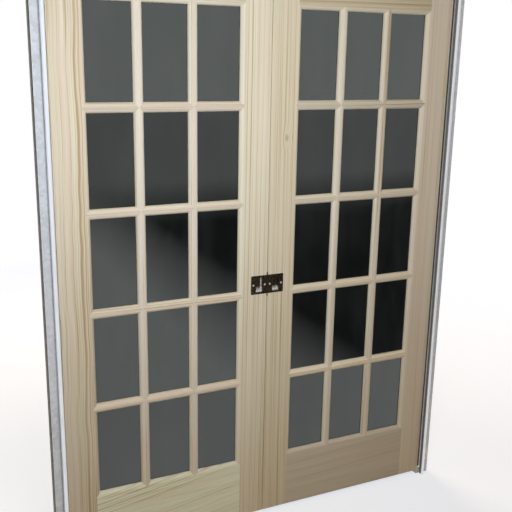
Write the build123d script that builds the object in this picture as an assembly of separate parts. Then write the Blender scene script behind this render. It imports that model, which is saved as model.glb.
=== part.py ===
from build123d import *
import os

# A pair of fifteen-lite pine french doors that slide into wall pockets.
# X runs across the opening, the face of the doors looks along -Y, Z is up.
# The origin is on the floor, under the meeting line, in the middle of the doors' thickness.

# Door leaves
leaf_width = 762.0
leaf_height = 2032.0
leaf_thickness = 35.0
stile_width = 115.0
top_rail_width = 110.0
bottom_rail_width = 236.0
column_count = 3
row_count = 5
arris_radius = 1.5
floor_gap = 12.0
meeting_gap = 2.0

# Sticking, muntins, glass and glazing beads
muntin_width = 34.0
muntin_ridge = 4.0
rib_width = 5.0
quirk_depth = 1.0
nose_depth = 3.0
glass_thickness = 4.0
glass_edge_gap = 2.0
bead_flat = 2.0

# Mortise and tenon joints of the rails
tenon_thickness = 11.0
tenon_length = 60.0
tenon_shoulder = 27.0
tenon_fit = 0.2
tenon_end_gap = 1.5

# Flush pulls, their edge plate and their screws
pull_width = 65.0
pull_height = 71.0
pull_thickness = 1.6
pull_corner = 2.5
pull_edge_bevel = 0.7
pull_level = 945.5
cup_width = 26.0
cup_height = 54.0
cup_depth = 13.0
cup_wall = 1.2
cup_corner = 4.0
cup_floor_round = 2.5
notch_clearance = 1.5
screw_diameter = 4.0
screw_head = 8.0
screw_fit = 0.1
edge_plate_height = 92.0
edge_screw_length = 22.0

# Hanger plates on top of the leaves, with their pendant bolts and wood screws
hanger_inset = 60.0
hanger_plate_width = 30.0
hanger_foot = 24.0
hanger_bridge = 42.0
hanger_rise = 13.0
hanger_sheet = 3.0
hanger_bend = 2.0
hanger_hole = 5.0
hanger_screw_length = 24.0
hanger_screw_rise = 2.6
hanger_screw_bevel = 1.2
bolt_diameter = 8.0
bolt_head_width = 13.0
bolt_head_height = 5.0
bolt_thread = 11.0
bolt_fit = 0.1
nut_height = 6.0

# Trolleys and wheels
trolley_length = 26.0
trolley_width = 12.0
trolley_drop = 16.0
trolley_rise = 8.0
trolley_round = 5.0
axle_diameter = 6.0
axle_head_diameter = 9.0
axle_head_width = 1.5
wheel_radius = 11.0
wheel_width = 8.0
wheel_bevel = 0.8
wheel_side_gap = 0.4
wheel_bore_fit = 0.08
wheel_running_gap = 0.2

# Track, its rubber ends and its centre stop
track_width = 42.0
track_height = 29.0
track_wall = 2.0
track_slot = 15.0
track_gap = 26.0
bumper_length = 30.0
stop_gap = 0.5

# Header, head jambs, split studs with their edge strips, and floor guides
frame_depth = 89.0
slot_gap = 6.0
jamb_gap = 6.0
head_lap = 10.0
head_jamb_thickness = 19.0
strip_width = 12.0
strip_thickness = 6.0
strip_round = 4.0
stud_web = 41.0
stud_lip = 14.0
stud_sheet = 1.2
stud_bend = 1.0
nailer_thickness = 19.0
header_thickness = 38.0
open_projection = 70.0
pocket_clearance = 20.0
end_plate_thickness = 3.0
end_plate_rise = 43.0
end_plate_corner = 8.0
end_hole_diameter = 6.5
end_hole_spacing = 50.0
end_hole_edge = 20.0
guide_reach = 18.0
guide_seat = 22.0
guide_height = 28.0
guide_base = 4.0
guide_clearance = 1.0
guide_flare = 1.5

# One overrun serves every cut
overrun = 5.0

# Levels through the thickness of a leaf
back_level = leaf_thickness / 2
face_level = -back_level
glass_back = glass_thickness / 2
glass_level = -glass_back
quirk_level = face_level + quirk_depth
nose_level = glass_level - nose_depth

# Widths shared by the stiles, rails, muntins and beads
sticking_width = (muntin_width - muntin_ridge) / 2
rebate_width = (muntin_width - rib_width) / 2
lite_width = (leaf_width - 2 * stile_width - (column_count - 1) * muntin_width) / column_count
lite_height = (leaf_height - top_rail_width - bottom_rail_width - (row_count - 1) * muntin_width) / row_count

# Heights above the floor
leaf_top = floor_gap + leaf_height
head_bottom = leaf_top - head_lap
head_top = head_bottom + head_jamb_thickness
track_bottom = leaf_top + track_gap
header_bottom = track_bottom + track_height
header_top = header_bottom + header_thickness

# Distances from the middle of the opening
leaf_start = meeting_gap / 2
opening_half = leaf_start + leaf_width + jamb_gap
leaf_travel = leaf_width + jamb_gap - open_projection
header_half = leaf_start + leaf_width + leaf_travel + pocket_clearance
slot_half = back_level + slot_gap
frame_half = frame_depth / 2

# The wheels run on the track's flanges
axle_level = leaf_height + track_gap + track_wall + wheel_running_gap + wheel_radius
hanger_places = {"inner": hanger_inset, "outer": leaf_width - hanger_inset}


def block(x_low, x_high, y_low, y_high, z_low, z_high):
    middle = Pos((x_low + x_high) / 2, (y_low + y_high) / 2, (z_low + z_high) / 2)
    return middle * Box(x_high - x_low, y_high - y_low, z_high - z_low)


def flank(face_end, sight_line):
    side = 1 if sight_line > face_end else -1
    top = (face_end, quirk_level)
    low = (sight_line, nose_level)
    ovolo = TangentArc(top, low, tangent=(side, 0))
    return [Line((face_end, face_level), top), ovolo, Line(low, (sight_line, glass_level))]


def muntin_section():
    ridge = muntin_ridge / 2
    sight = muntin_width / 2
    rib = rib_width / 2
    back = Polyline(
        (sight, glass_level), (rib, glass_level), (rib, back_level),
        (-rib, back_level), (-rib, glass_level), (-sight, glass_level))
    front = Line((-ridge, face_level), (ridge, face_level))
    return make_face([*flank(ridge, sight), *flank(-ridge, -sight), back, front])


def framing_section(width):
    face_end = width - sticking_width
    shoulder = width - rebate_width
    rest = Polyline(
        (width, glass_level), (shoulder, glass_level), (shoulder, back_level),
        (0, back_level), (0, face_level), (face_end, face_level))
    return make_face([*flank(face_end, width), rest])


def bead_section():
    top = (rebate_width - bead_flat, back_level)
    low = (0, glass_back + nose_depth)
    ovolo = TangentArc(top, low, tangent=(-1, 0))
    rest = Polyline(top, (rebate_width, back_level), (rebate_width, glass_back), (0, glass_back), low)
    return make_face([ovolo, rest])


def upright_bar(section, low, high):
    return Pos(0, 0, low) * extrude(section, high - low, dir=(0, 0, 1))


def level_bar(section, low, high):
    return Pos(low, 0, 0) * Rot(0, 90, 0) * extrude(section, high - low, dir=(0, 0, 1))


def stile_blank():
    section = framing_section(stile_width)
    section = fillet(section.vertices().group_by(Axis.X)[0], arris_radius)
    return upright_bar(section, 0, leaf_height)


def rail_bar(width):
    return level_bar(framing_section(width), stile_width / 2, leaf_width - stile_width / 2)


def tenon(low, high, fit, end_gap):
    tip = stile_width - rebate_width - tenon_length - end_gap
    half = tenon_thickness / 2 + fit
    return block(tip, stile_width, -half, half, low + tenon_shoulder - fit, high - tenon_shoulder + fit)


def both_ends(shape):
    return [shape, Pos(leaf_width, 0, 0) * mirror(shape, about=Plane.YZ)]


def leaf_woodwork():
    top_span = (leaf_height - top_rail_width, leaf_height)
    bottom_span = (0, bottom_rail_width)
    blanks = both_ends(stile_blank())
    top_bar = Pos(0, 0, leaf_height) * rail_bar(top_rail_width)
    bottom_bar = mirror(rail_bar(bottom_rail_width), about=Plane.XY)

    # The rails are coped over the stiles' sticking and tenoned into them
    rails = []
    for bar, span in ((top_bar, top_span), (bottom_bar, bottom_span)):
        rail = bar - blanks[0] - blanks[1]
        for end in both_ends(tenon(*span, 0, 0)):
            rail = rail + end
        rails.append(rail)
    mortises = [tenon(*span, tenon_fit, tenon_end_gap) for span in (top_span, bottom_span)]
    meeting = blanks[0] - mortises[0] - mortises[1]
    outer = Pos(leaf_width, 0, 0) * mirror(meeting, about=Plane.YZ)

    # Upright muntins run from rail to rail, and level ones are cut between them
    section = muntin_section()
    pitch = lite_width + muntin_width
    first = stile_width + lite_width + muntin_width / 2
    upright_places = [first + pitch * place for place in range(column_count - 1)]
    whole = upright_bar(section, bottom_rail_width / 2, leaf_height - top_rail_width / 2)
    upright = {place: Pos(place, 0, 0) * whole for place in upright_places}
    uprights = [upright[place] - top_bar - bottom_bar for place in upright_places]

    row_pitch = lite_height + muntin_width
    first_row = bottom_rail_width + lite_height + muntin_width / 2
    centres = [stile_width / 2, *upright_places, leaf_width - stile_width / 2]
    neighbours = [blanks[0], *upright.values(), blanks[1]]
    row = []
    for place in range(column_count):
        bar = Pos(0, 0, first_row) * level_bar(section, centres[place], centres[place + 1])
        row.append(bar - neighbours[place] - neighbours[place + 1])
    crossings = [Pos(0, 0, row_pitch * level) * bar for level in range(row_count - 1) for bar in row]
    return {
        "meeting_stile": [meeting],
        "outer_stile": [outer],
        "top_rail": [rails[0]],
        "bottom_rail": [rails[1]],
        "upright_muntins": uprights,
        "level_muntins": crossings,
    }


def mitred_bead(length):
    bar = level_bar(bead_section(), -length / 2 - rebate_width, length / 2 + rebate_width)
    near = length / 2
    far = near + rebate_width
    outline = Polyline((-near, 0), (near, 0), (far, -rebate_width), (-far, -rebate_width), close=True)
    mitre = extrude(Plane.XZ * make_face(outline), back_level + overrun, both=True)
    return bar & mitre


def leaf_glazing():
    lap = rebate_width - glass_edge_gap
    pane = Box(lite_width + 2 * lap, glass_thickness, lite_height + 2 * lap)
    level_bead = Pos(0, 0, -lite_height / 2) * mitred_bead(lite_width)
    upright_bead = Rot(0, 90, 0) * Pos(0, 0, -lite_width / 2) * mitred_bead(lite_height)
    half_turn = Rot(0, 180, 0)
    beads = [level_bead, half_turn * level_bead, upright_bead, half_turn * upright_bead]
    places = []
    for column in range(column_count):
        for row in range(row_count):
            x = stile_width + lite_width / 2 + column * (lite_width + muntin_width)
            z = bottom_rail_width + lite_height / 2 + row * (lite_height + muntin_width)
            places.append(Pos(x, 0, z))
    return {
        "glass_panes": [place * pane for place in places],
        "glazing_beads": [place * bead for place in places for bead in beads],
    }


# A pull lies across the notch in the meeting stile
pull_middle = pull_width / 2
cup_half = cup_width / 2 + cup_wall
screw_offset = (cup_half + pull_middle) / 2
screw_sink = (screw_head - screw_diameter) / 2
edge_screw_offset = edge_plate_height / 2 - screw_head


def turned(points):
    return revolve(make_face(Polyline(*points, close=True)), Axis.Y)


def through_screw(fit):
    reach = back_level + pull_thickness
    head = screw_head / 2 + fit
    shank = screw_diameter / 2 + fit
    neck = reach - screw_sink
    return turned([
        (0, -reach), (head, -reach), (shank, -neck), (shank, neck), (head, reach), (0, reach)])


def edge_screw(fit):
    head = screw_head / 2 + fit
    shank = screw_diameter / 2 + fit
    taper = edge_screw_length - screw_diameter
    screw = turned([
        (0, 0), (head, 0), (shank, screw_sink), (shank, taper), (0, edge_screw_length + fit)])
    return Rot(0, 0, -90) * screw


def flush_pull():
    plate = block(
        -pull_width / 2, pull_width / 2, -pull_thickness, 0, -pull_height / 2, pull_height / 2)
    plate = fillet(plate.edges().filter_by(Axis.Y), pull_corner)
    plate = chamfer(plate.faces().sort_by(Axis.Y)[0].edges(), pull_edge_bevel)
    floor = cup_depth - pull_thickness
    cup_rise = cup_height / 2
    wall = block(
        -cup_half, cup_half, -pull_thickness / 2, floor + cup_wall, -cup_rise - cup_wall, cup_rise + cup_wall)
    wall = fillet(wall.edges().filter_by(Axis.Y), cup_corner + cup_wall)
    wall = fillet(wall.faces().sort_by(Axis.Y)[-1].edges(), cup_floor_round + cup_wall)
    hollow = block(
        -cup_width / 2, cup_width / 2, -pull_thickness - overrun, floor, -cup_rise, cup_rise)
    hollow = fillet(hollow.edges().filter_by(Axis.Y), cup_corner)
    hollow = fillet(hollow.faces().sort_by(Axis.Y)[-1].edges(), cup_floor_round)
    pull = plate + wall - hollow
    for side in (-1, 1):
        pull = pull - Pos(side * screw_offset, back_level, 0) * through_screw(screw_fit)
    return pull


def leaf_pulls():
    middle = Pos(pull_middle, 0, pull_level)
    pull = flush_pull()
    front = middle * Pos(0, face_level, 0) * pull
    rear = middle * Pos(0, back_level, 0) * Rot(0, 0, 180) * pull
    half_plate = edge_plate_height / 2
    edge = block(
        0, pull_thickness, face_level, back_level, pull_level - half_plate, pull_level + half_plate)
    edge_places = [Pos(0, 0, pull_level + side * edge_screw_offset) for side in (-1, 1)]
    for place in edge_places:
        edge = edge - place * edge_screw(screw_fit)
    screws = [middle * Pos(side * screw_offset, 0, 0) * through_screw(0) for side in (-1, 1)]
    screws += [place * edge_screw(0) for place in edge_places]
    return {
        "front_pull": [front],
        "rear_pull": [rear],
        "edge_plate": [edge],
        "pull_screws": screws,
    }


def pull_mortise():
    notch_half = cup_height / 2 + cup_wall + notch_clearance
    notch = block(
        -overrun, pull_middle + cup_half + notch_clearance,
        face_level - overrun, back_level + overrun,
        pull_level - notch_half, pull_level + notch_half)
    half_plate = edge_plate_height / 2
    seat = block(
        -overrun, pull_thickness, face_level - overrun, back_level + overrun,
        pull_level - half_plate, pull_level + half_plate)
    cut = notch + seat
    cut = cut + Pos(pull_middle + screw_offset, 0, pull_level) * through_screw(screw_fit)
    for side in (-1, 1):
        cut = cut + Pos(0, 0, pull_level + side * edge_screw_offset) * edge_screw(screw_fit)
    return cut


# The screws stand in the middle of a hanger plate's two feet
hanger_screw_offset = (hanger_bridge + hanger_foot) / 2


def hanger_screw(fit):
    head = screw_head / 2
    shank = screw_diameter / 2 + fit
    crown = hanger_sheet + hanger_screw_rise
    screw = turned([
        (0, -hanger_screw_length - fit), (shank, screw_diameter - hanger_screw_length), (shank, hanger_sheet),
        (head, hanger_sheet), (head, crown - hanger_screw_bevel), (head - hanger_screw_bevel, crown), (0, crown)])
    return Rot(90, 0, 0) * screw


def hanger_screws(name, fit):
    middle = Pos(hanger_places[name], 0, leaf_height)
    return [middle * Pos(side * hanger_screw_offset, 0, 0) * hanger_screw(fit) for side in (-1, 1)]


def hanger_plate():
    outer = hanger_bridge / 2
    inner = outer - hanger_sheet
    toe = outer + hanger_foot
    soffit = hanger_rise - hanger_sheet
    outline = make_face(Polyline(
        (-toe, 0), (-inner, 0), (-inner, soffit), (inner, soffit), (inner, 0), (toe, 0),
        (toe, hanger_sheet), (outer, hanger_sheet), (outer, hanger_rise),
        (-outer, hanger_rise), (-outer, hanger_sheet), (-toe, hanger_sheet), close=True))
    outline = fillet(outline.vertices().group_by(Axis.Y)[-1], hanger_bend)
    plate = extrude(Plane.XZ * outline, hanger_plate_width / 2, both=True)
    neck = bolt_diameter / 2 + bolt_fit
    slot = block(-neck, neck, -hanger_plate_width / 2 - overrun, 0, soffit - overrun, hanger_rise + overrun)
    eye = Pos(0, 0, soffit) * Cylinder(neck, hanger_sheet + 2 * overrun)
    plate = plate - slot - eye
    for side in (-1, 1):
        hole = Cylinder(hanger_hole / 2, hanger_sheet + 2 * overrun)
        plate = plate - Pos(side * hanger_screw_offset, 0, hanger_sheet / 2) * hole
    return plate


def hexagon(height):
    return extrude(RegularPolygon(bolt_head_width / 2, side_count=6, major_radius=False), height)


def pendant_bolt():
    seat = hanger_rise - hanger_sheet
    tip = axle_level - leaf_height - trolley_drop + bolt_thread
    head = Pos(0, 0, seat - bolt_head_height) * hexagon(bolt_head_height)
    shank = Pos(0, 0, (seat + tip) / 2) * Cylinder(bolt_diameter / 2, tip - seat)
    bore = Cylinder(bolt_diameter / 2 + bolt_fit, 2 * nut_height + overrun)
    nut = Pos(0, 0, hanger_rise) * (hexagon(nut_height) - bore)
    return [head + shank, nut]


# Places across the track, from the trolley out to the heads of its axle
wheel_inside = trolley_width / 2 + wheel_side_gap
wheel_outside = wheel_inside + wheel_width
axle_reach = wheel_outside + wheel_side_gap + axle_head_width


def lying_cylinder(radius, low, high):
    return Pos(0, (low + high) / 2, 0) * Rot(90, 0, 0) * Cylinder(radius, high - low)


def trolley():
    body = block(
        -trolley_length / 2, trolley_length / 2, -trolley_width / 2, trolley_width / 2,
        -trolley_drop, trolley_rise)
    upper = body.edges().filter_by(Axis.Y).group_by(Axis.Z)[-1]
    body = fillet(upper, trolley_round)
    head = axle_reach - axle_head_width
    body = body + lying_cylinder(axle_diameter / 2, -axle_reach, axle_reach)
    body = body + lying_cylinder(axle_head_diameter / 2, head, axle_reach)
    body = body + lying_cylinder(axle_head_diameter / 2, -axle_reach, -head)
    depth = bolt_thread + bolt_fit
    bore = Pos(0, 0, -trolley_drop + depth / 2) * Cylinder(bolt_diameter / 2 + bolt_fit, depth)
    return body - bore


def wheels():
    wheel = lying_cylinder(wheel_radius, wheel_inside, wheel_outside)
    wheel = chamfer(wheel.edges().filter_by(GeomType.CIRCLE), wheel_bevel)
    wheel = wheel - lying_cylinder(axle_diameter / 2 + wheel_bore_fit, wheel_inside, wheel_outside)
    return [wheel, mirror(wheel, about=Plane.XZ)]


def leaf_hangers():
    pieces = {"hanger_bolts": []}
    for name, x in hanger_places.items():
        on_leaf = Pos(x, 0, leaf_height)
        on_axle = Pos(x, 0, axle_level)
        pieces[name + "_hanger_plate"] = [on_leaf * hanger_plate()]
        pieces["hanger_bolts"] += [on_leaf * solid for solid in pendant_bolt()] + hanger_screws(name, 0)
        pieces[name + "_trolley"] = [on_axle * trolley()]
        pieces[name + "_wheels"] = [on_axle * solid for solid in wheels()]
    return pieces


def leaf_pieces():
    wood = leaf_woodwork()
    wood["meeting_stile"] = [wood["meeting_stile"][0] - pull_mortise() - hanger_screws("inner", screw_fit)]
    wood["outer_stile"] = [wood["outer_stile"][0] - hanger_screws("outer", screw_fit)]
    return {**wood, **leaf_glazing(), **leaf_pulls(), **leaf_hangers()}


def edge_strip():
    strip = block(
        opening_half, opening_half + strip_width, -frame_half, -frame_half + strip_thickness, 0, head_top)
    return fillet(strip.edges().filter_by(Axis.Z).group_by(Axis.Y)[0], strip_round)


def head_jamb():
    jamb = block(-opening_half, opening_half, -frame_half, -slot_half, head_bottom, head_top)
    edge = jamb.edges().filter_by(Axis.X).group_by(Axis.Y)[0].sort_by(Axis.Z)[0]
    return fillet(edge, strip_round)


def split_stud():
    # One folded sheet: a web along the slot, a face to the opening and a lip behind the edge strip
    face = opening_half
    lining = face + stud_sheet
    front = -frame_half + strip_thickness
    web_end = face + stud_web
    lip_end = face + stud_lip
    outline = make_face(Polyline(
        (web_end, -slot_half), (face, -slot_half), (face, front), (lip_end, front),
        (lip_end, front + stud_sheet), (lining, front + stud_sheet),
        (lining, -slot_half - stud_sheet), (web_end, -slot_half - stud_sheet), close=True))
    across = outline.vertices().group_by(Axis.X)
    outline = fillet(across[0], stud_bend + stud_sheet)
    outline = fillet(outline.vertices().filter_by_position(Axis.X, lining, lining), stud_bend)
    return extrude(outline, head_top, dir=(0, 0, 1))


def nailer():
    return block(
        -header_half, header_half, -frame_half, -frame_half + nailer_thickness, head_top, header_bottom)


def track():
    half = track_width / 2
    side = half - track_wall
    slot = track_slot / 2
    floor = track_bottom + track_wall
    ceiling = header_bottom - track_wall
    outline = make_face(Polyline(
        (slot, track_bottom), (half, track_bottom), (half, header_bottom), (-half, header_bottom),
        (-half, track_bottom), (-slot, track_bottom), (-slot, floor), (-side, floor),
        (-side, ceiling), (side, ceiling), (side, floor), (slot, floor), close=True))
    return extrude(Plane.YZ * outline, header_half, both=True)


def track_block(x_low, x_high):
    side = track_width / 2 - track_wall
    return block(
        x_low, x_high, -side, side, track_bottom + track_wall, header_bottom - track_wall)


def bumper():
    start = leaf_start + hanger_places["outer"] + leaf_travel + trolley_length / 2 + stop_gap
    return track_block(start, start + bumper_length)


def centre_stop():
    reach = leaf_start + hanger_places["inner"] - trolley_length / 2 - stop_gap
    return track_block(-reach, reach)


def end_plate():
    height = header_top + end_plate_rise - head_top
    outline = RectangleRounded(frame_depth, height, end_plate_corner)
    plate = extrude(Plane.YZ * outline, end_plate_thickness)
    hole_level = height / 2 - end_hole_edge
    for side in (-1, 1):
        bore = Rot(0, 90, 0) * Cylinder(end_hole_diameter / 2, 2 * end_plate_thickness + overrun)
        plate = plate - Pos(0, side * end_hole_spacing / 2, hole_level) * bore
    return Pos(header_half, 0, head_top + height / 2) * plate


def floor_guide():
    inside = back_level + guide_clearance
    lip = guide_height - guide_flare
    outline = make_face(Polyline(
        (-slot_half, 0), (slot_half, 0), (slot_half, guide_height), (inside + guide_flare, guide_height),
        (inside, lip), (inside, guide_base), (-inside, guide_base), (-inside, lip),
        (-inside - guide_flare, guide_height), (-slot_half, guide_height), close=True))
    return Pos(opening_half - guide_reach, 0, 0) * extrude(Plane.YZ * outline, guide_reach + guide_seat)


def to_the_left(solid):
    return mirror(solid, about=Plane.YZ)


def to_the_rear(solid):
    return mirror(solid, about=Plane.XZ)


def frame_pieces():
    header = block(-header_half, header_half, -frame_half, frame_half, header_bottom, header_top)
    pieces = {
        "header_board": header,
        "front_nailer": nailer(),
        "rear_nailer": to_the_rear(nailer()),
        "track": track(),
        "centre_stop": centre_stop(),
        "front_head_jamb": head_jamb(),
        "rear_head_jamb": to_the_rear(head_jamb()),
    }
    right = {
        "front_edge_strip": edge_strip(),
        "rear_edge_strip": to_the_rear(edge_strip()),
        "front_stud": split_stud(),
        "rear_stud": to_the_rear(split_stud()),
        "bumper": bumper(),
        "end_plate": end_plate(),
        "floor_guide": floor_guide(),
    }
    for name, solid in right.items():
        pieces["right_" + name] = solid
        pieces["left_" + name] = to_the_left(solid)
    return pieces


os.makedirs("parts", exist_ok=True)
for name, solid in frame_pieces().items():
    export_step(solid, f"parts/{name}.step")
in_opening = Pos(leaf_start, 0, floor_gap)
for name, solids in leaf_pieces().items():
    right = [in_opening * solid for solid in solids]
    left = [to_the_left(solid) for solid in right]
    export_step(Compound(children=right), f"parts/right_{name}.step")
    export_step(Compound(children=left), f"parts/left_{name}.step")
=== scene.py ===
import math

import bpy
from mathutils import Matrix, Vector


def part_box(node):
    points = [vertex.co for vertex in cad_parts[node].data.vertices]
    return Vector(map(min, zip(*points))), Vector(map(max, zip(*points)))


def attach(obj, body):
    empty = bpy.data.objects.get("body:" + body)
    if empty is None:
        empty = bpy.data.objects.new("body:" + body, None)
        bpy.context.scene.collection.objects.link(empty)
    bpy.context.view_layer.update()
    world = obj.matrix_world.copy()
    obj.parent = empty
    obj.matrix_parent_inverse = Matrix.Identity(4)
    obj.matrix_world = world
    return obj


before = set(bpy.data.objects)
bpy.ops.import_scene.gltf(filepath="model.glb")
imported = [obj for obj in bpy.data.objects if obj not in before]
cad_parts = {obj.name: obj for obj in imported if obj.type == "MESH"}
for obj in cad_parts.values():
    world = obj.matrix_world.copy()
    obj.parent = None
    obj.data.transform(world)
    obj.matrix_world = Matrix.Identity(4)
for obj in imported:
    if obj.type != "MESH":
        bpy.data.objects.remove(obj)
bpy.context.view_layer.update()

print("frame loaded:", len(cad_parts), "pieces")

sides = ("left", "right")
noiseSpan = (0.3, 0.7)  # most values of a noise texture lie between these


# Node helpers

def startFinish(name):
    material = bpy.data.materials.new(name)
    material.use_nodes = True
    tree = material.node_tree
    shader = tree.nodes["Principled BSDF"]
    coords = tree.nodes.new("ShaderNodeTexCoord")
    return material, tree, shader, coords.outputs["Object"]


def setInput(tree, socket, value):
    if isinstance(value, bpy.types.NodeSocket):
        tree.links.new(value, socket)
    else:
        socket.default_value = value


def addNode(tree, kind, inputs, **settings):
    node = tree.nodes.new("ShaderNode" + kind)
    for key, value in settings.items():
        setattr(node, key, value)
    for key, value in inputs.items():
        setInput(tree, node.inputs[key], value)
    return node


def calc(tree, operation, a, b=0.0):
    return addNode(tree, "Math", {0: a, 1: b}, operation=operation).outputs[0]


def vectorCalc(tree, operation, a, b):
    return addNode(tree, "VectorMath", {0: a, 1: b}, operation=operation).outputs[0]


def vectorLength(tree, vector):
    return addNode(tree, "VectorMath", {0: vector}, operation="LENGTH").outputs["Value"]


def axes(tree, vector):
    return addNode(tree, "SeparateXYZ", {0: vector}).outputs


# A scale of three numbers stretches the noise along an axis
def noise(tree, coords, scale, detail=2.0, roughness=0.5, shift=(0.0, 0.0, 0.0), output="Fac"):
    if isinstance(scale, tuple):
        coords = addNode(tree, "Mapping", {"Vector": coords, "Scale": scale, "Location": shift}).outputs[0]
        scale = 1.0
    inputs = {"Vector": coords, "Scale": scale, "Detail": detail, "Roughness": roughness}
    return addNode(tree, "TexNoise", inputs).outputs[output]


def remap(tree, value, low, high, newLow, newHigh):
    inputs = {"Value": value, "From Min": low, "From Max": high, "To Min": newLow, "To Max": newHigh}
    return addNode(tree, "MapRange", inputs).outputs[0]


def spread(tree, value, newLow, newHigh):
    return remap(tree, value, *noiseSpan, newLow, newHigh)


def mixColour(tree, share, first, second, blend="MIX"):
    inputs = {0: share, 6: first, 7: second}
    return addNode(tree, "Mix", inputs, data_type="RGBA", blend_type=blend).outputs[2]


def colourRamp(tree, value, stops, interpolation="LINEAR"):
    node = addNode(tree, "ValToRGB", {"Fac": value})
    ramp = node.color_ramp
    ramp.interpolation = interpolation
    while len(ramp.elements) < len(stops):
        ramp.elements.new(0.5)
    for element, (place, colour) in zip(ramp.elements, stops):
        element.position = place
        element.color = colour
    return node.outputs[0]


def ringRamp(tree, phase, profile):
    stops = [(place, grey(level)) for place, level in profile]
    return colourRamp(tree, calc(tree, "FRACT", phase), stops, "EASE")


def feed(tree, shader, **values):
    names = {"colour": "Base Color", "roughness": "Roughness", "normal": "Normal", "metallic": "Metallic"}
    for key, value in values.items():
        setInput(tree, shader.inputs[names[key]], value)


def bump(tree, height, strength, distance):
    return addNode(tree, "Bump", {"Height": height, "Strength": strength, "Distance": distance}).outputs[0]


def grey(level):
    return (level, level, level, 1.0)


def dress(node, material):
    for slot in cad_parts[node].material_slots:
        slot.material = material


# Bare pine: growth rings round a pith line, long streaks and fine fibre, all along the board

pineLook = {
    "earlyWood": (0.735, 0.664, 0.530, 1.0),
    "midWood": (0.645, 0.557, 0.408, 1.0),
    "lateWood": (0.430, 0.325, 0.185, 1.0),
    "wanderScale": (5.0, 5.0, 1.1),
    "rippleScale": (6.0, 6.0, 5.5),
    "ringStrength": 0.90,
    "ringProfile": ((0.0, 0.15), (0.10, 0.0), (0.55, 0.25), (0.88, 1.0), (1.0, 0.15)),
    "yearScale": 38.0,
    "yearSwing": 2.6,
    "faintestYear": 0.25,
    "streakStrength": 0.40,
    "streakScale": (70.0, 70.0, 0.9),
    "fadeRange": (0.65, 1.25),
    "fadeScale": (9.0, 9.0, 1.6),
    "fadeShift": (0.6, 2.2, 5.0),
    "fibreStrength": 0.30,
    "fibreScale": (330.0, 330.0, 4.0),
    "tintScale": (30.0, 30.0, 1.1),
    "tintShift": (3.1, 1.7, 0.4),
    "rosyTint": (0.690, 0.555, 0.440, 1.0),
    "rosyShare": (0.50, 0.72, 0.0, 0.60),
    "greenTint": (0.585, 0.580, 0.405, 1.0),
    "greenShare": (0.53, 0.75, 0.0, 0.28),
    "knotColour": (0.330, 0.270, 0.190, 1.0),
    "knotSpread": (190.0, 0.0, 95.0),
    "knotBend": (0.6, 5.0, 0.012, 0.0),
    "knotShade": (0.3, 1.7, 0.7, 0.0),
    "heightShadeReach": (0.6, 1.6),
    "mouldingHighlight": (0.800, 0.748, 0.625, 1.0),
    "mouldingDepth": (0.0172, 0.0155),
    "mouldingHighlightShare": 0.35,
    "roughness": (0.50, 0.66),
    "relief": {"fibre": 0.7, "ring": 0.3},
    "bump": (0.35, 0.00025),
    "boardShift": 0.9,
}


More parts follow.
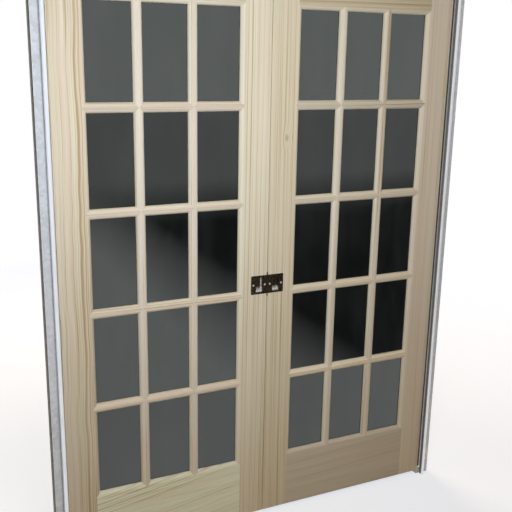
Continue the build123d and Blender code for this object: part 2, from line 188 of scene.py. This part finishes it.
def pineBoard(name, along, pith, ringSpacing, taper, wander, tone, shift, figure=1.0, ripple=0.0, heightShade=None,
              knot=None):
    look = pineLook
    material, tree, shader, coords = startFinish(name)
    turn = (0.0, 0.0, 0.0) if along == "z" else (0.0, math.radians(-90), 0.0)
    board = addNode(tree, "Mapping", {"Vector": coords, "Rotation": turn, "Location": shift}).outputs[0]

    # slow wander of the grain, then the distance from the pith line
    slow = noise(tree, board, look["wanderScale"], output="Color")
    offset = vectorCalc(tree, "SUBTRACT", slow, (0.5, 0.5, 0.5))
    offset = vectorCalc(tree, "MULTIPLY", offset, (wander, wander, 0.0))
    moved = vectorCalc(tree, "ADD", board, offset)
    centred = vectorCalc(tree, "SUBTRACT", moved, (pith[0] + shift[0], pith[1], 0.0))
    radius = vectorLength(tree, vectorCalc(tree, "MULTIPLY", centred, (1.0, 1.0, 0.0)))
    radius = calc(tree, "ADD", radius, calc(tree, "MULTIPLY", axes(tree, board)["Z"], taper))
    if ripple:
        sway = noise(tree, board, look["rippleScale"], detail=1.0)
        radius = calc(tree, "ADD", radius, spread(tree, sway, -ripple, ripple))
    if knot:  # the rings part round it
        apart = vectorCalc(tree, "SUBTRACT", coords, (knot[0], 0.0, knot[1]))
        apart = vectorLength(tree, vectorCalc(tree, "MULTIPLY", apart, look["knotSpread"]))
        radius = calc(tree, "ADD", radius, remap(tree, apart, *look["knotBend"]))

    # uneven years: each ring has its own width and strength
    year = calc(tree, "MULTIPLY", radius, look["yearScale"])
    years = addNode(tree, "TexNoise", {"W": year, "Scale": 1.0, "Detail": 1.0}, noise_dimensions="1D")
    swing = calc(tree, "MULTIPLY", years.outputs["Fac"], look["yearSwing"])
    phase = calc(tree, "ADD", calc(tree, "DIVIDE", radius, ringSpacing), swing)
    ring = ringRamp(tree, phase, look["ringProfile"])
    each = addNode(tree, "TexWhiteNoise", {"W": calc(tree, "FLOOR", phase)}, noise_dimensions="1D")
    strength = remap(tree, each.outputs["Value"], 0.0, 1.0, look["faintestYear"], 1.0)
    ring = calc(tree, "MULTIPLY", ring, strength)

    streak = noise(tree, moved, look["streakScale"], detail=4.0, roughness=0.65)
    fade = noise(tree, moved, look["fadeScale"], detail=1.0, shift=look["fadeShift"])
    fibre = noise(tree, board, look["fibreScale"], detail=4.0, roughness=0.7)
    mark = calc(tree, "MULTIPLY", ring, figure * look["ringStrength"])
    mark = calc(tree, "ADD", mark, spread(tree, streak, 0.0, figure * look["streakStrength"]))
    mark = calc(tree, "MULTIPLY", mark, spread(tree, fade, *look["fadeRange"]))
    half = 0.5 * look["fibreStrength"]
    mark = calc(tree, "ADD", mark, spread(tree, fibre, -half, half))
    colour = colourRamp(tree, mark, (
        (0.0, look["earlyWood"]), (0.5, look["midWood"]), (1.0, look["lateWood"])))

    tints = noise(tree, moved, look["tintScale"], shift=look["tintShift"], output="Color")
    parts = addNode(tree, "SeparateColor", {0: tints}).outputs
    colour = mixColour(tree, remap(tree, parts[0], *look["rosyShare"]), colour, look["rosyTint"])
    colour = mixColour(tree, remap(tree, parts[1], *look["greenShare"]), colour, look["greenTint"])
    if knot:
        colour = mixColour(tree, remap(tree, apart, *look["knotShade"]), colour, look["knotColour"])
    colour = mixColour(tree, 1.0, colour, tone + (1.0,), "MULTIPLY")
    if heightShade:  # painted light and shade: the level muntins are painted paler low down and browner high up
        height = remap(tree, axes(tree, coords)["Z"], *look["heightShadeReach"], *heightShade)
        colour = mixColour(tree, 1.0, colour, height, "MULTIPLY")

    # painted highlight: the mouldings round the panes are painted paler than the flat faces
    depth = calc(tree, "ABSOLUTE", axes(tree, coords)["Y"])
    cut = remap(tree, depth, *look["mouldingDepth"], 0.0, look["mouldingHighlightShare"])
    colour = mixColour(tree, cut, colour, look["mouldingHighlight"])

    relief = calc(tree, "ADD", calc(tree, "MULTIPLY", fibre, look["relief"]["fibre"]),
                  calc(tree, "MULTIPLY", ring, look["relief"]["ring"]))
    feed(tree, shader, colour=colour, roughness=spread(tree, fibre, *look["roughness"]),
         normal=bump(tree, relief, *look["bump"]))
    return material


pineBoards = {
    "left_outer_stile": {
        "along": "z", "pith": (0.30, 0.05), "ringSpacing": 0.0105, "taper": 0.006, "wander": 0.016,
        "tone": (1.02, 1.00, 0.955), "figure": 1.30, "ripple": 0.0035},
    "left_meeting_stile": {
        "along": "z", "pith": (-0.34, 0.07), "ringSpacing": 0.0110, "taper": -0.005, "wander": 0.012,
        "tone": (1.10, 1.11, 1.08)},
    "left_top_rail": {
        "along": "x", "pith": (0.22, 0.06), "ringSpacing": 0.0100, "taper": 0.02, "wander": 0.02,
        "tone": (0.94, 0.92, 0.84)},
    "left_bottom_rail": {
        "along": "x", "pith": (0.42, 0.05), "ringSpacing": 0.0240, "taper": -0.16, "wander": 0.03,
        "tone": (1.23, 1.38, 1.35)},
    "left_upright_muntins": {
        "along": "z", "pith": (0.50, 0.11), "ringSpacing": 0.0080, "taper": 0.003, "wander": 0.010,
        "tone": (1.03, 1.03, 1.05)},
    "left_level_muntins": {
        "along": "x", "pith": (0.60, 0.13), "ringSpacing": 0.0080, "taper": 0.01, "wander": 0.015,
        "tone": (1.06, 1.00, 0.97), "heightShade": (1.06, 0.86)},
    "left_glazing_beads": {
        "along": "z", "pith": (0.40, 0.09), "ringSpacing": 0.0060, "taper": 0.004, "wander": 0.010,
        "tone": (1.00, 1.00, 1.00), "figure": 0.25},
    "right_outer_stile": {
        "along": "z", "pith": (0.26, 0.06), "ringSpacing": 0.0120, "taper": 0.003, "wander": 0.010,
        "tone": (1.06, 1.04, 1.03)},
    "right_meeting_stile": {
        "along": "z", "pith": (-0.30, 0.06), "ringSpacing": 0.0120, "taper": 0.005, "wander": 0.012,
        "tone": (1.01, 0.995, 0.91), "knot": (0.066, 1.494)},
    "right_top_rail": {
        "along": "x", "pith": (0.24, 0.05), "ringSpacing": 0.0110, "taper": -0.02, "wander": 0.02,
        "tone": (0.86, 0.83, 0.72)},
    "right_bottom_rail": {
        "along": "x", "pith": (0.38, 0.06), "ringSpacing": 0.0200, "taper": -0.06, "wander": 0.03,
        "tone": (0.87, 0.86, 0.86), "figure": 0.65},
    "right_upright_muntins": {
        "along": "z", "pith": (0.45, 0.12), "ringSpacing": 0.0080, "taper": -0.003, "wander": 0.010,
        "tone": (1.03, 1.03, 1.03)},
    "right_level_muntins": {
        "along": "x", "pith": (0.55, 0.12), "ringSpacing": 0.0080, "taper": -0.01, "wander": 0.015,
        "tone": (1.03, 1.00, 0.96), "heightShade": (1.22, 0.80)},
    "right_glazing_beads": {
        "along": "z", "pith": (0.44, 0.08), "ringSpacing": 0.0060, "taper": 0.004, "wander": 0.010,
        "tone": (1.00, 1.00, 1.00), "figure": 0.25},
}
for place, (piece, values) in enumerate(pineBoards.items()):
    shift = (pineLook["boardShift"] * place, 0.0, 0.0)  # every board from its own part of the log
    dress(piece, pineBoard("Pine_" + piece, shift=shift, **values))
print("pine boards done")


# Framing timber of the header and nailers: coarser, yellower and planed

timberLook = {
    "pale": (0.62, 0.50, 0.32, 1.0),
    "dark": (0.42, 0.30, 0.16, 1.0),
    "wanderScale": (1.2, 6.0, 6.0),
    "ringSpacing": 0.014,
    "ringLean": 0.6,
    "ringWander": 0.09,
    "ringProfile": ((0.0, 0.1), (0.6, 0.3), (0.9, 1.0), (1.0, 0.1)),
    "ringShare": 0.5,
    "fibreScale": (12.0, 600.0, 600.0),
    "fibreShare": (-0.1, 0.2),
    "stainScale": (1.5, 14.0, 14.0),
    "stainShare": (0.35, 0.75, -0.1, 0.3),
    "roughness": (0.62, 0.80),
    "bump": (0.4, 0.0005),
}


def framingTimber():
    look = timberLook
    material, tree, shader, coords = startFinish("FramingTimber")
    slow = noise(tree, coords, look["wanderScale"], detail=3.0)
    line = axes(tree, coords)
    across = calc(tree, "ADD", line["Y"], calc(tree, "MULTIPLY", line["Z"], look["ringLean"]))
    across = calc(tree, "ADD", across, calc(tree, "MULTIPLY", slow, look["ringWander"]))
    ring = ringRamp(tree, calc(tree, "DIVIDE", across, look["ringSpacing"]), look["ringProfile"])
    fibre = noise(tree, coords, look["fibreScale"], detail=3.0)
    stain = noise(tree, coords, look["stainScale"], detail=4.0)
    share = calc(tree, "MULTIPLY", ring, look["ringShare"])
    share = calc(tree, "ADD", share, spread(tree, fibre, *look["fibreShare"]))
    share = calc(tree, "ADD", share, remap(tree, stain, *look["stainShare"]))
    colour = mixColour(tree, share, look["pale"], look["dark"])
    feed(tree, shader, colour=colour, roughness=spread(tree, fibre, *look["roughness"]),
         normal=bump(tree, fibre, *look["bump"]))
    return material


timber = framingTimber()
for piece in ("header_board", "front_nailer", "rear_nailer"):
    dress(piece, timber)


# White satin paint: brushed along its length and a little uneven, with a pearly sheen on the steel strips

paintLook = {
    "paint": (0.905, 0.945, 0.995, 1.0),
    "scuff": (0.760, 0.775, 0.780, 1.0),
    "scuffScale": 9.0,
    "scuffShare": (0.50, 0.80, 0.0, 0.5),
    "uprightBrush": (700.0, 700.0, 9.0),
    "levelBrush": (9.0, 700.0, 700.0),
    "roughness": (0.48, 0.64),
    "bump": (0.3, 0.0002),
    "stripSheen": 0.70,
}


def satinPaint(name, brushScale, sheen):
    look = paintLook
    material, tree, shader, coords = startFinish(name)
    brush = noise(tree, coords, brushScale, detail=3.0, roughness=0.6)
    cloud = noise(tree, coords, look["scuffScale"], detail=4.0, roughness=0.6)
    colour = mixColour(tree, remap(tree, cloud, *look["scuffShare"]), look["paint"], look["scuff"])
    feed(tree, shader, colour=colour, metallic=sheen, roughness=spread(tree, brush, *look["roughness"]),
         normal=bump(tree, brush, *look["bump"]))
    return material


uprightPaint = satinPaint("UprightWhitePaint", paintLook["uprightBrush"], paintLook["stripSheen"])
levelPaint = satinPaint("LevelWhitePaint", paintLook["levelBrush"], 0.0)
for face in ("front", "rear"):
    dress(face + "_head_jamb", levelPaint)
    for side in sides:
        dress(side + "_" + face + "_edge_strip", uprightPaint)
print("timber and paint done")


# Clear glass with a faint film of dust and smears; its near-black tint is painted shade, the dark of an
# unlit room seen through the panes

glassLook = {
    "darkRoomShade": (0.005, 0.006, 0.006, 1.0),
    "film": (0.026, 0.029, 0.028, 1.0),
    "smearScale": (7.0, 1.0, 2.2),
    "smearShare": (0.42, 0.75, 0.0, 0.8),
    "smearRoughness": (0.4, 0.75, 0.015, 0.09),
    "dustScale": 420.0,
    "dustShare": (0.5, 1.0),
    "waveScale": 5.0,
    "bump": (0.15, 0.002),
    "bending": 1.9,
    "clearness": 0.85,
    "glint": (0.92, 1.0, 0.96, 1.0),
}


def paneGlass():
    look = glassLook
    material, tree, shader, coords = startFinish("PaneGlass")
    smear = noise(tree, coords, look["smearScale"], detail=4.0, roughness=0.6)
    dust = noise(tree, coords, look["dustScale"], detail=2.0, roughness=0.6)
    film = remap(tree, smear, *look["smearShare"])
    film = calc(tree, "MULTIPLY", film, spread(tree, dust, *look["dustShare"]))
    # painted shade: the near-black tint stands for the dark seen through clear glass
    colour = mixColour(tree, film, look["darkRoomShade"], look["film"])
    wave = noise(tree, coords, look["waveScale"], detail=1.0)
    feed(tree, shader, colour=colour, roughness=remap(tree, smear, *look["smearRoughness"]),
         normal=bump(tree, wave, *look["bump"]))
    shader.inputs["IOR"].default_value = look["bending"]
    shader.inputs["Transmission Weight"].default_value = look["clearness"]
    shader.inputs["Specular Tint"].default_value = look["glint"]
    return material


glass = paneGlass()
for side in sides:
    dress(side + "_glass_panes", glass)


# Dark antique bronze, rubbed bright here and there

bronzeLook = {
    "dark": (0.034, 0.024, 0.013, 1.0),
    "rubbed": (0.300, 0.215, 0.130, 1.0),
    "bareGlint": (0.950, 0.920, 0.890, 1.0),
    "cloudScale": 160.0,
    "cloudShare": (0.45, 0.80, 0.0, 0.5),
    "speckScale": 900.0,
    "speckShare": (0.55, 0.80, 0.0, 0.25),
    "plateShadeLift": 0.6,
    "cupDepth": (0.0178, 0.0150),
    "cupFoot": (0.948, 0.936),
    "cupFlank": (-0.0240, -0.0215),
    "wearGlintRange": (0.3, 0.6, 0.4, 1.0),
    "metallic": 0.9,
    "roughness": (0.3, 0.75, 0.22, 0.40),
    "bump": (0.15, 0.0001),
}


def antiqueBronze(name, shadeLift, cupWearGlint):
    look = bronzeLook
    material, tree, shader, coords = startFinish(name)
    cloud = noise(tree, coords, look["cloudScale"], detail=4.0, roughness=0.65)
    speck = noise(tree, coords, look["speckScale"])
    share = remap(tree, cloud, *look["cloudShare"])
    share = calc(tree, "ADD", share, remap(tree, speck, *look["speckShare"]))
    colour = mixColour(tree, calc(tree, "ADD", share, shadeLift), look["dark"], look["rubbed"])
    if cupWearGlint:  # worn bare by fingers and painted bright as a highlight: the foot of each cup, and the side of the left one
        place = axes(tree, coords)
        depth = remap(tree, calc(tree, "ABSOLUTE", place["Y"]), *look["cupDepth"], 0.0, 1.0)
        foot = remap(tree, place["Z"], *look["cupFoot"], 0.0, 1.0)
        flank = remap(tree, place["X"], *look["cupFlank"], 0.0, 1.0)
        flank = calc(tree, "MULTIPLY", flank, calc(tree, "LESS_THAN", place["X"], 0.0))
        wornGlint = calc(tree, "MULTIPLY", depth, calc(tree, "MAXIMUM", foot, flank))
        wornGlint = calc(tree, "MULTIPLY", wornGlint, remap(tree, cloud, *look["wearGlintRange"]))
        colour = mixColour(tree, wornGlint, colour, look["bareGlint"])
    feed(tree, shader, colour=colour, metallic=look["metallic"],
         roughness=remap(tree, cloud, *look["roughness"]), normal=bump(tree, speck, *look["bump"]))
    return material


pullBronze = antiqueBronze("PullBronze", 0.0, True)
# painted light: the edge plates get a lighter copy of the bronze, to offset the shade of the meeting gap
plateBronze = antiqueBronze("PlateBronze", bronzeLook["plateShadeLift"], False)
for side in sides:
    dress(side + "_front_pull", pullBronze)
    dress(side + "_rear_pull", pullBronze)
    dress(side + "_edge_plate", plateBronze)


# Plain metals: streaked or mottled, each with its own colour

metalLook = {
    "BrightScrews": {
        "pale": (0.62, 0.57, 0.51, 1.0), "dark": (0.34, 0.31, 0.27, 1.0),
        "roughness": (0.20, 0.36), "scale": (600.0, 600.0, 600.0)},
    "ZincSteel": {
        "pale": (0.66, 0.67, 0.66, 1.0), "dark": (0.44, 0.45, 0.45, 1.0),
        "roughness": (0.26, 0.46), "scale": (120.0, 120.0, 120.0)},
    "TrackAluminium": {
        "pale": (0.72, 0.73, 0.74, 1.0), "dark": (0.52, 0.53, 0.55, 1.0),
        "roughness": (0.30, 0.48), "scale": (3.0, 700.0, 700.0)},
}
metalSurface = {"darkShare": (0.35, 0.75, 0.0, 1.0), "bump": (0.12, 0.0001)}


def plainMetal(name, pale, dark, roughness, scale):
    material, tree, shader, coords = startFinish(name)
    line = noise(tree, coords, scale, detail=3.0, roughness=0.6)
    colour = mixColour(tree, remap(tree, line, *metalSurface["darkShare"]), pale, dark)
    feed(tree, shader, colour=colour, metallic=1.0, roughness=spread(tree, line, *roughness),
         normal=bump(tree, line, *metalSurface["bump"]))
    return material


metals = {name: plainMetal(name, **values) for name, values in metalLook.items()}
dress("track", metals["TrackAluminium"])
for side in sides:
    dress(side + "_pull_screws", metals["BrightScrews"])
    dress(side + "_hanger_bolts", metals["ZincSteel"])
    for place in ("inner", "outer"):
        dress(side + "_" + place + "_hanger_plate", metals["ZincSteel"])
        dress(side + "_" + place + "_trolley", metals["ZincSteel"])


# Galvanised sheet: dull grey with spangle

galvanisedLook = {
    "pale": (0.700, 0.715, 0.730, 1.0),
    "dark": (0.560, 0.575, 0.590, 1.0),
    "spangleScale": 95.0,
    "spangleShare": 0.55,
    "cloudScale": 12.0,
    "cloudShare": (0.3, 0.75, 0.0, 0.45),
    "revealShade": (0.185, 0.190, 0.196, 1.0),
    "revealEdge": 0.7700,
    "pocketShade": (0.060, 0.060, 0.060, 1.0),
    "pocketDepth": 0.0238,
    "pocketEnd": 0.8015,
    "pocketFade": 0.003,
    "metallic": 0.35,
    "roughness": (0.48, 0.66),
    "bump": (0.08, 0.0001),
}


def galvanisedSheet():
    look = galvanisedLook
    material, tree, shader, coords = startFinish("GalvanisedSheet")
    spangle = addNode(tree, "TexVoronoi", {"Vector": coords, "Scale": look["spangleScale"]})
    facet = addNode(tree, "SeparateColor", {0: spangle.outputs["Color"]}).outputs[0]
    cloud = noise(tree, coords, look["cloudScale"], detail=4.0, roughness=0.6)
    share = calc(tree, "MULTIPLY", facet, look["spangleShare"])
    share = calc(tree, "ADD", share, remap(tree, cloud, *look["cloudShare"]))
    colour = mixColour(tree, share, look["pale"], look["dark"])

    # painted shade: the reveal at the opening and the slot-facing faces towards the pocket are painted dark
    place = axes(tree, coords)
    across = calc(tree, "ABSOLUTE", place["X"])
    colour = mixColour(tree, calc(tree, "LESS_THAN", across, look["revealEdge"]), colour, look["revealShade"])
    slotShade = calc(tree, "LESS_THAN", calc(tree, "ABSOLUTE", place["Y"]), look["pocketDepth"])
    end = look["pocketEnd"]
    slotShade = calc(tree, "MULTIPLY", slotShade, remap(tree, across, end, end + look["pocketFade"], 1.0, 0.0))
    colour = mixColour(tree, slotShade, colour, look["pocketShade"])
    roughness = remap(tree, facet, 0.0, 1.0, *look["roughness"])
    feed(tree, shader, colour=colour, metallic=look["metallic"], roughness=roughness,
         normal=bump(tree, facet, *look["bump"]))
    return material


galvanised = galvanisedSheet()
for side in sides:
    for piece in ("front_stud", "rear_stud", "end_plate"):
        dress(side + "_" + piece, galvanised)


# Moulded nylon and black rubber

mouldedLook = {
    "WhiteNylon": {
        "pale": (0.76, 0.75, 0.70, 1.0), "dark": (0.60, 0.58, 0.53, 1.0), "roughness": (0.34, 0.52)},
    "BlackRubber": {
        "pale": (0.030, 0.030, 0.031, 1.0), "dark": (0.060, 0.058, 0.055, 1.0), "roughness": (0.62, 0.85)},
}
mouldedSurface = {"cloudScale": 45.0, "darkShare": (0.4, 0.8, 0.0, 0.8), "grainScale": 1400.0,
                  "bump": (0.2, 0.0001)}


def moulded(name, pale, dark, roughness):
    material, tree, shader, coords = startFinish(name)
    cloud = noise(tree, coords, mouldedSurface["cloudScale"], detail=4.0, roughness=0.6)
    grain = noise(tree, coords, mouldedSurface["grainScale"])
    colour = mixColour(tree, remap(tree, cloud, *mouldedSurface["darkShare"]), pale, dark)
    feed(tree, shader, colour=colour, roughness=spread(tree, grain, *roughness),
         normal=bump(tree, grain, *mouldedSurface["bump"]))
    return material


nylon = moulded("WhiteNylon", **mouldedLook["WhiteNylon"])
rubber = moulded("BlackRubber", **mouldedLook["BlackRubber"])
dress("centre_stop", nylon)
for side in sides:
    dress(side + "_floor_guide", nylon)
    dress(side + "_bumper", rubber)
    for place in ("inner", "outer"):
        dress(side + "_" + place + "_wheels", nylon)
print("glass, metals and mouldings done")


# Modelling helpers

def deselectAll():
    if bpy.context.mode != "OBJECT":
        bpy.ops.object.mode_set(mode="OBJECT")
    bpy.ops.object.select_all(action="DESELECT")


def activate(piece):
    deselectAll()
    piece.select_set(True)
    bpy.context.view_layer.objects.active = piece


def applyPlace():
    bpy.ops.object.transform_apply(location=True, rotation=True, scale=True)


def pickFaces(piece, test):
    bpy.ops.object.mode_set(mode="EDIT")
    bpy.ops.mesh.select_mode(type="FACE")
    bpy.ops.mesh.select_all(action="DESELECT")
    bpy.ops.object.mode_set(mode="OBJECT")
    for face in piece.data.polygons:
        face.select = test(face)
    bpy.ops.object.mode_set(mode="EDIT")


def cutAway(piece, cutter):
    activate(piece)
    cut = piece.modifiers.new("Cut", "BOOLEAN")
    cut.operation = "DIFFERENCE"
    cut.solver = "EXACT"
    cut.object = cutter
    bpy.ops.object.modifier_apply(modifier="Cut")
    bpy.data.objects.remove(cutter)


def placeCopies(master, name, places):
    copies = []
    for spot, turn in places:
        activate(master)
        bpy.ops.object.duplicate(linked=False)
        copy = bpy.context.active_object
        copy.location = spot
        copy.rotation_euler = turn
        applyPlace()
        copies.append(copy)
    deselectAll()
    for copy in copies:
        copy.select_set(True)
    bpy.context.view_layer.objects.active = copies[0]
    bpy.ops.object.join()
    joined = bpy.context.active_object
    joined.name = name
    joined.data.name = name
    return joined


# Oval screw heads with a driver slot, lying on the flush heads of the pulls

headShape = {
    "radius": 0.0039,
    "edge": 0.0004,
    "rise": 0.0011,
    "rings": ((0.16, 0.42), (0.26, 0.33), (0.30, 0.18)),  # inwards by the radius, upwards by the rise
    "corners": 32,
    "slotWidth": 0.0010,
    "slotDepth": 0.0009,
    "smoothAngle": 35,
    "inset": 0.00915,  # from the plate's edge
    "tilts": (24.0, -38.0),
}


def slottedHead(shape, name):
    radius, edge = shape["radius"], shape["edge"]
    deselectAll()
    bpy.ops.mesh.primitive_cylinder_add(vertices=shape["corners"], radius=radius, depth=edge,
                                        location=(0.0, -edge / 2, 0.0),
                                        rotation=(math.radians(90), 0.0, 0.0))
    head = bpy.context.active_object
    head.name = name
    applyPlace()
    for inwards, upwards in shape["rings"]:
        front = min(vertex.co.y for vertex in head.data.vertices)
        pickFaces(head, lambda face: face.normal.y < -0.9 and face.center.y < front + 1e-6)
        bpy.ops.mesh.inset(thickness=radius * inwards)
        bpy.ops.transform.translate(value=(0.0, -shape["rise"] * upwards, 0.0))
        bpy.ops.object.mode_set(mode="OBJECT")
    front = min(vertex.co.y for vertex in head.data.vertices)
    deselectAll()
    bpy.ops.mesh.primitive_cube_add(size=1.0, location=(0.0, front, 0.0))
    bar = bpy.context.active_object
    bar.scale = (shape["slotWidth"], 2 * shape["slotDepth"], 3 * radius)
    applyPlace()
    cutAway(head, bar)
    activate(head)
    bpy.ops.object.shade_smooth_by_angle(angle=math.radians(shape["smoothAngle"]))
    return head


def finishPiece(piece, body, material):
    piece.data.materials.clear()
    piece.data.materials.append(material)
    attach(piece, body)


def middle(node):
    low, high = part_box(node)
    return (low + high) / 2


pullScrew = slottedHead(headShape, "pull_screw_head")
for side in sides:
    low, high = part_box(side + "_front_pull")
    centre = middle(side + "_front_pull")
    reach = (high.x - low.x) / 2 - headShape["inset"]
    frontFace, rearFace = low.y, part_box(side + "_rear_pull")[1].y
    places = []
    for across, tilt in zip((-reach, reach), headShape["tilts"]):
        for face, turn in ((frontFace, 0.0), (rearFace, 180.0)):
            spot = (centre.x + across, face, centre.z)
            places.append((spot, (0.0, math.radians(tilt), math.radians(turn))))
    heads = placeCopies(pullScrew, side + "_pull_screw_heads", places)
    finishPiece(heads, side + "_door", metals["BrightScrews"])
bpy.data.objects.remove(pullScrew)
print("screw heads done")


# Floor, world, lamps and camera

stageLook = {
    "floor": (0.48, 0.40, 0.26, 1.0),
    "floorSize": 60.0,
    "floorDrop": 0.0005,
    "floorCloud": (0.98, 1.02),
    "floorCloudScale": 0.8,
    "floorRoughness": 0.9,
    "nearGlow": (0.58, 0.63, 0.72, 1.0),
    "farGlow": (0.95, 0.985, 1.06, 1.0),
    "glowReach": (1.2, 4.5),
    "worldLight": (0.124, 0.066, 0.001, 1.0),
    "cardSize": (26.0, 22.0),
    "cardPlace": (6.0, 12.2, 0.003),
    "cardAcross": (0.40, 1.35),
    "cardTone": (0.92, 0.02),
    "cardAway": (5.2, 8.0),
    "cardFar": 0.55,
}

lampSetup = {
    "key": {
        "place": (-0.62, -1.62, 1.75), "target": (-0.20, 0.0, 1.80), "power": 32.9, "size": 0.7,
        "colour": (0.778, 0.862, 1.0)},
    "rear": {
        "place": (0.5, 2.6, 2.5), "target": (0.0, 0.0, 1.1), "power": 76.0, "size": 1.6,
        "colour": (0.88, 0.94, 1.0)},
    "top": {
        "place": (0.0, -0.8, 4.4), "target": (0.0, 0.0, 0.9), "power": 14.0, "size": 2.0,
        "colour": (1.0, 0.80, 0.20)},
    "left": {
        "place": (-3.6, 0.0, 1.8), "target": (-0.8, 0.0, 1.4), "power": 10.0, "size": 1.2,
        "colour": (1.0, 0.84, 0.58)},
    "right": {
        "place": (3.6, 0.0, 1.8), "target": (0.8, 0.0, 1.4), "power": 10.0, "size": 1.2,
        "colour": (1.0, 0.84, 0.58)},
}

cameraView = {
    "place": (-1.22614, -2.46455, 1.77753),
    "turn": (75.3809, -1.0080, -25.4493),
    "lens": 54.12,
    "sensor": 36.0,
}


def seenRays(tree):
    rays = addNode(tree, "LightPath", {})
    seen = calc(tree, "MAXIMUM", rays.outputs["Is Camera Ray"], rays.outputs["Is Glossy Ray"])
    return calc(tree, "MAXIMUM", seen, rays.outputs["Is Transmission Ray"])


def buildFloor():
    look = stageLook
    deselectAll()
    bpy.ops.mesh.primitive_plane_add(size=look["floorSize"], location=(0.0, 0.0, -look["floorDrop"]))
    floor = bpy.context.active_object
    floor.name = "floor"
    material, tree, shader, coords = startFinish("PaleFloor")
    cloud = noise(tree, coords, look["floorCloudScale"])
    low, high = (tuple(part * share for part in look["floor"][:3]) + (1.0,) for share in look["floorCloud"])
    feed(tree, shader, colour=mixColour(tree, cloud, low, high), roughness=look["floorRoughness"])
    shader.inputs["Specular IOR Level"].default_value = 0.0
    far = remap(tree, vectorLength(tree, coords), *look["glowReach"], 0.0, 1.0)
    glow = mixColour(tree, far, look["nearGlow"], look["farGlow"])
    tree.links.new(glow, shader.inputs["Emission Color"])
    tree.links.new(seenRays(tree), shader.inputs["Emission Strength"])
    floor.data.materials.append(material)


def buildWorld():
    world = bpy.data.worlds.new("Studio")
    bpy.context.scene.world = world
    world.use_nodes = True
    tree = world.node_tree
    colour = mixColour(tree, seenRays(tree), stageLook["worldLight"], grey(1.0))
    tree.links.new(colour, tree.nodes["Background"].inputs["Color"])


# Low cards that only reflections see, so that the middle panes stay dark
def buildCard(name, way):
    look = stageLook
    width, depth = look["cardSize"]
    x, y, z = look["cardPlace"]
    deselectAll()
    bpy.ops.mesh.primitive_plane_add(size=1.0)
    card = bpy.context.active_object
    card.name = name
    card.scale = (width, depth, 1.0)
    card.location = (x, way * y, z)
    applyPlace()
    material, tree, shader, coords = startFinish(name + "_tone")
    place = axes(tree, coords)
    near = remap(tree, place["X"], *look["cardAcross"], *look["cardTone"])
    away = remap(tree, calc(tree, "ABSOLUTE", place["Y"]), *look["cardAway"], 0.0, 1.0)
    tone = addNode(tree, "Mix", {0: away, 2: near, 3: look["cardFar"]}, data_type="FLOAT").outputs[0]
    shader.inputs["Base Color"].default_value = grey(0.0)
    shader.inputs["Specular IOR Level"].default_value = 0.0
    shader.inputs["Emission Color"].default_value = grey(1.0)
    tree.links.new(tone, shader.inputs["Emission Strength"])
    card.data.materials.append(material)
    card.visible_camera = False
    card.visible_diffuse = False
    card.visible_shadow = False
    card.visible_transmission = False


def aim(item, target):
    line = Vector(target) - item.location
    item.rotation_euler = line.to_track_quat("-Z", "Y").to_euler()


def addLamp(name, place, target, power, size, colour):
    bpy.ops.object.light_add(type="AREA", location=place)
    lamp = bpy.context.active_object
    lamp.name = name + "_lamp"
    lamp.data.energy = power
    lamp.data.size = size
    lamp.data.color = colour
    lamp.visible_camera = False
    lamp.visible_glossy = False
    lamp.visible_transmission = False
    aim(lamp, target)


def addCamera():
    turn = [math.radians(angle) for angle in cameraView["turn"]]
    bpy.ops.object.camera_add(location=cameraView["place"], rotation=turn)
    camera = bpy.context.active_object
    camera.data.sensor_width = cameraView["sensor"]
    camera.data.lens = cameraView["lens"]
    bpy.context.scene.camera = camera


buildFloor()
buildWorld()
buildCard("front_card", -1.0)
buildCard("rear_card", 1.0)
for name, values in lampSetup.items():
    addLamp(name, **values)
addCamera()
bpy.context.scene.view_settings.view_transform = "Standard"
print("stage done")
